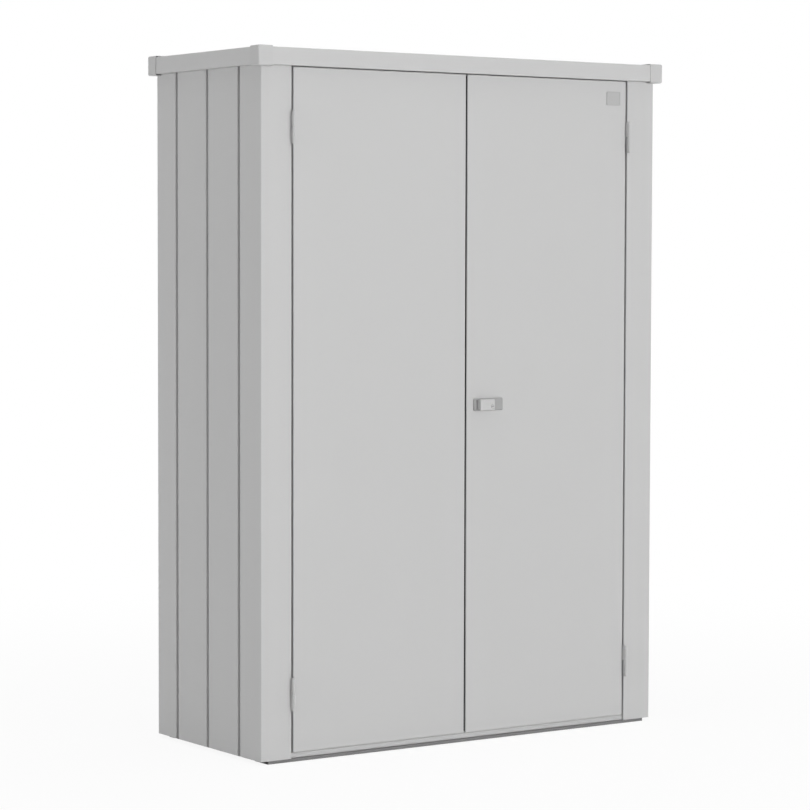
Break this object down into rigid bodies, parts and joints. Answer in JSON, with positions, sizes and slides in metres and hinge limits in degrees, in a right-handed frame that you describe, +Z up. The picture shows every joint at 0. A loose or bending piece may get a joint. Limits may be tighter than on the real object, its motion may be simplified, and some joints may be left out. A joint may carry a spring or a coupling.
{
  "type": "metal garden storage cabinet",
  "caption": "Tall sheet-steel garden cabinet with grooved folded walls, a flat overhanging roof, hinged double doors with a turn handle and locking rods, and shelves.",
  "frame": {"origin": "on the ground, at the middle of the bounding box's footprint; the roof's middle is 2.5 mm behind it, because the handle stands past the roof's front edge", "axes": "+Z up, doors and handle face -Y, +X towards the right as seen from the front"},
  "size_m": [1.32, 0.575, 1.842],
  "materials": {
    "painted_sheet": "satin light silver-grey paint",
    "galvanised_sheet": "dull galvanised steel",
    "cap_plastic": "satin silver-grey moulding",
    "dark_base": "matt dark coating",
    "hinge_steel": "satin steel",
    "handle_alloy": "satin silver coating on a cast handle",
    "lock_steel": "zinc-plated steel",
    "guide_plastic": "matt black moulding"
  },
  "bodies": {
    "cabinet": {"left_front_post": "painted_sheet", "right_front_post": "painted_sheet", "left_rear_post": "painted_sheet", "right_rear_post": "painted_sheet", "left_side_panel_1": "painted_sheet", "left_side_panel_2": "painted_sheet", "right_side_panel_1": "painted_sheet", "right_side_panel_2": "painted_sheet", "rear_panel_1": "painted_sheet", "rear_panel_2": "painted_sheet", "rear_panel_3": "painted_sheet", "base_front_rail": "dark_base", "base_rear_rail": "dark_base", "base_left_rail": "dark_base", "base_right_rail": "dark_base", "floor_panel": "galvanised_sheet", "sill": "painted_sheet", "head_rail": "painted_sheet", "front_fascia": "painted_sheet", "rear_fascia": "painted_sheet", "left_fascia": "painted_sheet", "right_fascia": "painted_sheet", "left_front_cap": "cap_plastic", "right_front_cap": "cap_plastic", "left_rear_cap": "cap_plastic", "right_rear_cap": "cap_plastic", "roof_panel": "painted_sheet", "shelf_1": "galvanised_sheet", "shelf_2": "galvanised_sheet", "shelf_3": "galvanised_sheet", "shelf_rail_left_1": "galvanised_sheet", "shelf_rail_right_1": "galvanised_sheet", "shelf_rail_left_2": "galvanised_sheet", "shelf_rail_right_2": "galvanised_sheet", "shelf_rail_left_3": "galvanised_sheet", "shelf_rail_right_3": "galvanised_sheet", "left_upper_hinge_frame_half": "hinge_steel", "left_lower_hinge_frame_half": "hinge_steel", "right_upper_hinge_frame_half": "hinge_steel", "right_lower_hinge_frame_half": "hinge_steel"},
    "left_door": {"left_door_panel": "painted_sheet", "left_door_stiffener": "galvanised_sheet", "left_upper_hinge_door_half": "hinge_steel", "left_lower_hinge_door_half": "hinge_steel", "top_bolt_guide": "guide_plastic", "bottom_bolt_guide": "guide_plastic"},
    "right_door": {"right_door_panel": "painted_sheet", "right_door_stiffener": "galvanised_sheet", "right_upper_hinge_door_half": "hinge_steel", "right_lower_hinge_door_half": "hinge_steel", "handle_plate": "handle_alloy", "upper_rod_guide": "guide_plastic", "lower_rod_guide": "guide_plastic"},
    "handle": {"turn_handle": "handle_alloy", "lock_crank": "lock_steel"},
    "key_cylinder": {"lock_cylinder": "lock_steel"},
    "upper_locking_rod": {"upper_rod": "lock_steel"},
    "lower_locking_rod": {"lower_rod": "lock_steel"},
    "top_slide_bolt": {"top_bolt": "lock_steel"},
    "bottom_slide_bolt": {"bottom_bolt": "lock_steel"}
  },
  "joints": [
    {"name": "left_door_hinge", "type": "hinge", "parent": "cabinet", "child": "left_door", "pos_m": [-0.549, -0.275, 0.9], "axis": [0, 0, -1], "range_deg": [0, 175]},
    {"name": "right_door_hinge", "type": "hinge", "parent": "cabinet", "child": "right_door", "pos_m": [0.549, -0.275, 0.9], "axis": [0, 0, 1], "range_deg": [0, 175]},
    {"name": "handle_turn", "type": "hinge", "parent": "right_door", "child": "handle", "pos_m": [0.0585, -0.2711, 0.9095], "axis": [0, -1, 0], "range_deg": [0, 90]},
    {"name": "key_turn", "type": "hinge", "parent": "handle", "child": "key_cylinder", "pos_m": [0.074, -0.2875, 0.905], "axis": [0, 1, 0], "range_deg": [0, 90]},
    {"name": "upper_rod_slide", "type": "slide", "parent": "right_door", "child": "upper_locking_rod", "axis": [0, 0, 1], "range_m": [0, 0.0213]},
    {"name": "lower_rod_slide", "type": "slide", "parent": "right_door", "child": "lower_locking_rod", "axis": [0, 0, -1], "range_m": [0, 0.0213]},
    {"name": "top_bolt_slide", "type": "slide", "parent": "left_door", "child": "top_slide_bolt", "axis": [0, 0, 1], "range_m": [0, 0.02]},
    {"name": "bottom_bolt_slide", "type": "slide", "parent": "left_door", "child": "bottom_slide_bolt", "axis": [0, 0, -1], "range_m": [0, 0.02]}
  ],
  "couplings": [
    {"joint": "upper_rod_slide", "follows": "handle_turn", "m_per_rad": 0.0135},
    {"joint": "lower_rod_slide", "follows": "handle_turn", "m_per_rad": 0.0135}
  ]
}
